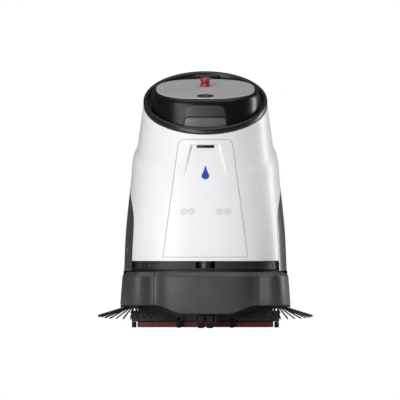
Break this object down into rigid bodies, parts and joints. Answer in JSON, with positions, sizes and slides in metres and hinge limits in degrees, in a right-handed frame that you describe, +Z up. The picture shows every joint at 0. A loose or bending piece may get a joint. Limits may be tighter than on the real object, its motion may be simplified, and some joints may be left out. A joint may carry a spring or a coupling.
{
  "type": "robotic floor cleaner",
  "caption": "Upright commercial floor scrubbing robot: tapered shell on a bumpered base, slanted collar ring round a hinged head lid, side brushes, scrub deck and squeegee.",
  "frame": {"origin": "on the floor, under the middle of the outline", "axes": "+Z up, -Y towards the front of the machine, +X towards its own left side"},
  "size_m": [0.8442, 0.8745, 0.9983],
  "materials": {
    "shell_white": "moulded white ABS, satin gloss",
    "gloss_black": "moulded black, high gloss",
    "dark_satin": "moulded dark grey, satin",
    "frame_dark": "powder coated dark grey",
    "plate_grey": "satin grey",
    "signal_red": "red, glossy",
    "skirt_red": "dark red rubber",
    "black_rubber": "matt black rubber",
    "tyre_black": "matt black tyre rubber",
    "bristle_black": "black nylon bristle",
    "zinc_steel": "zinc plated",
    "tank_plastic": "translucent tank plastic, rotomoulded",
    "screen_black": "black display glass"
  },
  "bodies": {
    "chassis": {"chassis_frame": "frame_dark", "front_shell": "shell_white", "rear_shell": "shell_white", "service_panel": "shell_white", "collar_ring": "gloss_black", "top_deck": "dark_satin", "rear_skirt": "dark_satin", "sensor_bay": "dark_satin", "lidar_body": "gloss_black", "depth_camera_window": "gloss_black", "ultrasonic_pair_left": "dark_satin", "ultrasonic_pair_right": "dark_satin", "battery_pack": "dark_satin", "solution_tank": "tank_plastic", "recovery_tank": "tank_plastic", "vacuum_blower": "gloss_black", "control_box": "zinc_steel", "water_pump": "zinc_steel", "display_screen": "screen_black", "push_handle": "black_rubber", "drive_motor_left": "zinc_steel", "drive_motor_right": "zinc_steel", "head_hinge": "frame_dark"},
    "head_lid": {"head_shell": "gloss_black", "head_plate": "plate_grey", "grip_tab": "dark_satin", "estop_collar": "signal_red"},
    "estop": {"estop_button": "signal_red"},
    "start": {"start_button": "gloss_black"},
    "door_left": {"side_panel_left": "gloss_black"},
    "door_right": {"side_panel_right": "gloss_black"},
    "latch_left": {"side_latch_left": "dark_satin"},
    "latch_right": {"side_latch_right": "dark_satin"},
    "bumper": {"bumper_centre": "dark_satin", "bumper_corner_left": "dark_satin", "bumper_corner_right": "dark_satin"},
    "brush_arm_left": {"side_brush_arm_left": "dark_satin"},
    "brush_arm_right": {"side_brush_arm_right": "dark_satin"},
    "brush_left": {"side_brush_hub_left": "dark_satin", "side_brush_bristles_left": "bristle_black"},
    "brush_right": {"side_brush_hub_right": "dark_satin", "side_brush_bristles_right": "bristle_black"},
    "drive_left": {"drive_hub_left": "zinc_steel", "drive_tyre_left": "tyre_black"},
    "drive_right": {"drive_hub_right": "zinc_steel", "drive_tyre_right": "tyre_black"},
    "caster": {"caster_fork": "frame_dark"},
    "caster_wheel_l": {"caster_wheel_left": "black_rubber"},
    "caster_wheel_r": {"caster_wheel_right": "black_rubber"},
    "deck": {"deck_housing": "dark_satin", "deck_skirt": "skirt_red", "deck_motor": "zinc_steel"},
    "roller": {"roller_brush": "bristle_black"},
    "end_roller_l": {"deck_end_roller_left": "black_rubber"},
    "end_roller_r": {"deck_end_roller_right": "black_rubber"},
    "gauge_l": {"gauge_wheel_left": "black_rubber"},
    "gauge_r": {"gauge_wheel_right": "black_rubber"},
    "squeegee": {"squeegee_beam": "dark_satin", "squeegee_blade": "black_rubber", "suction_riser": "dark_satin"}
  },
  "joints": [
    {"name": "head_lift", "type": "hinge", "parent": "chassis", "child": "head_lid", "pos_m": [0, 0.234, 0.9775], "axis": [-1, 0, 0], "range_deg": [0, 75]},
    {"name": "estop_press", "type": "slide", "parent": "head_lid", "child": "estop", "axis": [0, 0.2008, -0.9796], "range_m": [0, 0.004], "stiffness_N_per_m": 1500, "springref_m": -0.002},
    {"name": "start_press", "type": "slide", "parent": "head_lid", "child": "start", "axis": [0, 0.2008, -0.9796], "range_m": [0, 0.002], "stiffness_N_per_m": 1500, "springref_m": -0.001},
    {"name": "door_left_swing", "type": "hinge", "parent": "chassis", "child": "door_left", "pos_m": [0.3, 0.222, 0.2225], "axis": [0, 0, 1], "range_deg": [0, 95]},
    {"name": "door_right_swing", "type": "hinge", "parent": "chassis", "child": "door_right", "pos_m": [-0.3, 0.222, 0.2225], "axis": [0, 0, -1], "range_deg": [0, 95]},
    {"name": "latch_left_press", "type": "slide", "parent": "door_left", "child": "latch_left", "axis": [-0.9715, 0.2232, -0.0791], "range_m": [0, 0.003], "stiffness_N_per_m": 800, "springref_m": -0.001},
    {"name": "latch_right_press", "type": "slide", "parent": "door_right", "child": "latch_right", "axis": [0.9715, 0.2232, -0.0791], "range_m": [0, 0.003], "stiffness_N_per_m": 800, "springref_m": -0.001},
    {"name": "bumper_press", "type": "slide", "parent": "chassis", "child": "bumper", "axis": [0, 1, 0], "range_m": [0, 0.012], "stiffness_N_per_m": 3000, "springref_m": -0.003},
    {"name": "brush_lift_left", "type": "slide", "parent": "chassis", "child": "brush_arm_left", "axis": [0, 0, 1], "range_m": [-0.03, 0]},
    {"name": "brush_spin_left", "type": "hinge", "parent": "brush_arm_left", "child": "brush_left", "pos_m": [0.275, -0.27, 0.09], "axis": [0, -0.0698, 0.9976], "continuous": true},
    {"name": "drive_spin_left", "type": "hinge", "parent": "chassis", "child": "drive_left", "pos_m": [0.235, 0.19, 0.1], "axis": [1, 0, 0], "continuous": true},
    {"name": "brush_lift_right", "type": "slide", "parent": "chassis", "child": "brush_arm_right", "axis": [0, 0, 1], "range_m": [-0.03, 0]},
    {"name": "brush_spin_right", "type": "hinge", "parent": "brush_arm_right", "child": "brush_right", "pos_m": [-0.275, -0.27, 0.09], "axis": [0, -0.0698, 0.9976], "continuous": true},
    {"name": "drive_spin_right", "type": "hinge", "parent": "chassis", "child": "drive_right", "pos_m": [-0.235, 0.19, 0.1], "axis": [1, 0, 0], "continuous": true},
    {"name": "caster_swivel", "type": "hinge", "parent": "chassis", "child": "caster", "pos_m": [0, -0.315, 0.205], "axis": [0, 0, 1], "continuous": true},
    {"name": "caster_spin_left", "type": "hinge", "parent": "caster", "child": "caster_wheel_l", "pos_m": [0.0172, -0.29, 0.0375], "axis": [1, 0, 0], "continuous": true},
    {"name": "caster_spin_right", "type": "hinge", "parent": "caster", "child": "caster_wheel_r", "pos_m": [-0.0172, -0.29, 0.0375], "axis": [1, 0, 0], "continuous": true},
    {"name": "deck_lift", "type": "slide", "parent": "chassis", "child": "deck", "axis": [0, 0, 1], "range_m": [0, 0.03]},
    {"name": "roller_spin", "type": "hinge", "parent": "deck", "child": "roller", "pos_m": [0, -0.02, 0.05], "axis": [1, 0, 0], "continuous": true},
    {"name": "end_roller_spin_left", "type": "hinge", "parent": "deck", "child": "end_roller_l", "pos_m": [0.277, -0.1, 0.012], "axis": [0, 0, 1], "continuous": true},
    {"name": "end_roller_spin_right", "type": "hinge", "parent": "deck", "child": "end_roller_r", "pos_m": [-0.277, -0.1, 0.012], "axis": [0, 0, 1], "continuous": true},
    {"name": "gauge_spin_left", "type": "hinge", "parent": "deck", "child": "gauge_l", "pos_m": [0.103, -0.142, 0.018], "axis": [1, 0, 0], "continuous": true},
    {"name": "gauge_spin_right", "type": "hinge", "parent": "deck", "child": "gauge_r", "pos_m": [-0.103, -0.142, 0.018], "axis": [1, 0, 0], "continuous": true},
    {"name": "squeegee_lift", "type": "slide", "parent": "chassis", "child": "squeegee", "axis": [0, 0, 1], "range_m": [0, 0.035]}
  ]
}
